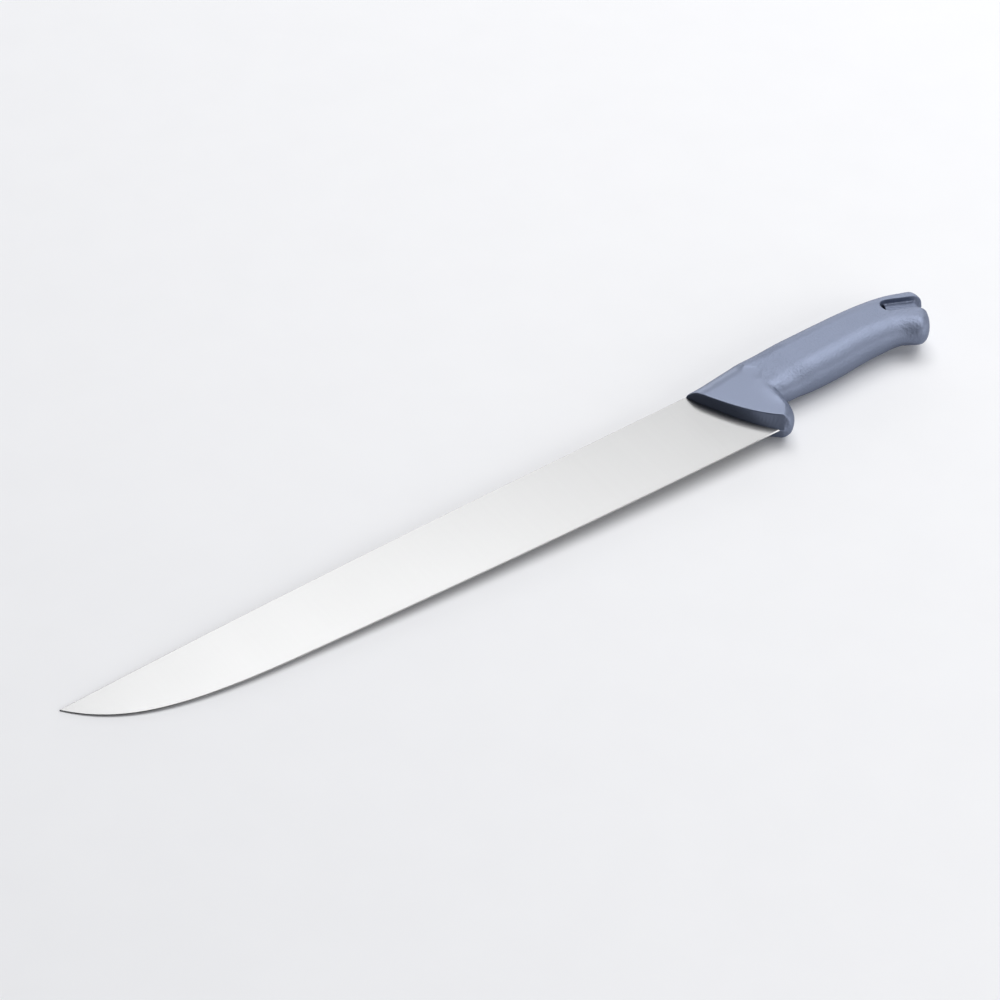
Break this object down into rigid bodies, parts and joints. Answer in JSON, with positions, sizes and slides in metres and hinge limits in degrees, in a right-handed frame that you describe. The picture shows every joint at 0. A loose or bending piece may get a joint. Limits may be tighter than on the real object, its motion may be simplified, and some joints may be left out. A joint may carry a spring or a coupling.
{
  "type": "butcher knife",
  "caption": "Long butcher knife with a straight spine, a deep blade that curves up to the tip, and a moulded plastic handle with a slanted guard, finger choil, flared butt and hang slot.",
  "frame": {"origin": "centre of the bounding box in plan, at the height of the flat underside of the grip", "axes": "+X from the tip along the blade to the butt, +Y from the cutting edge to the spine, +Z square to the flat of the blade, with the knife lying on its side"},
  "size_m": [0.5566, 0.0574, 0.0224],
  "materials": {
    "blade_steel": "satin ground",
    "handle_plastic": "fine grained"
  },
  "bodies": {
    "root": {"blade": "blade_steel", "handle": "handle_plastic"}
  },
  "joints": []
}
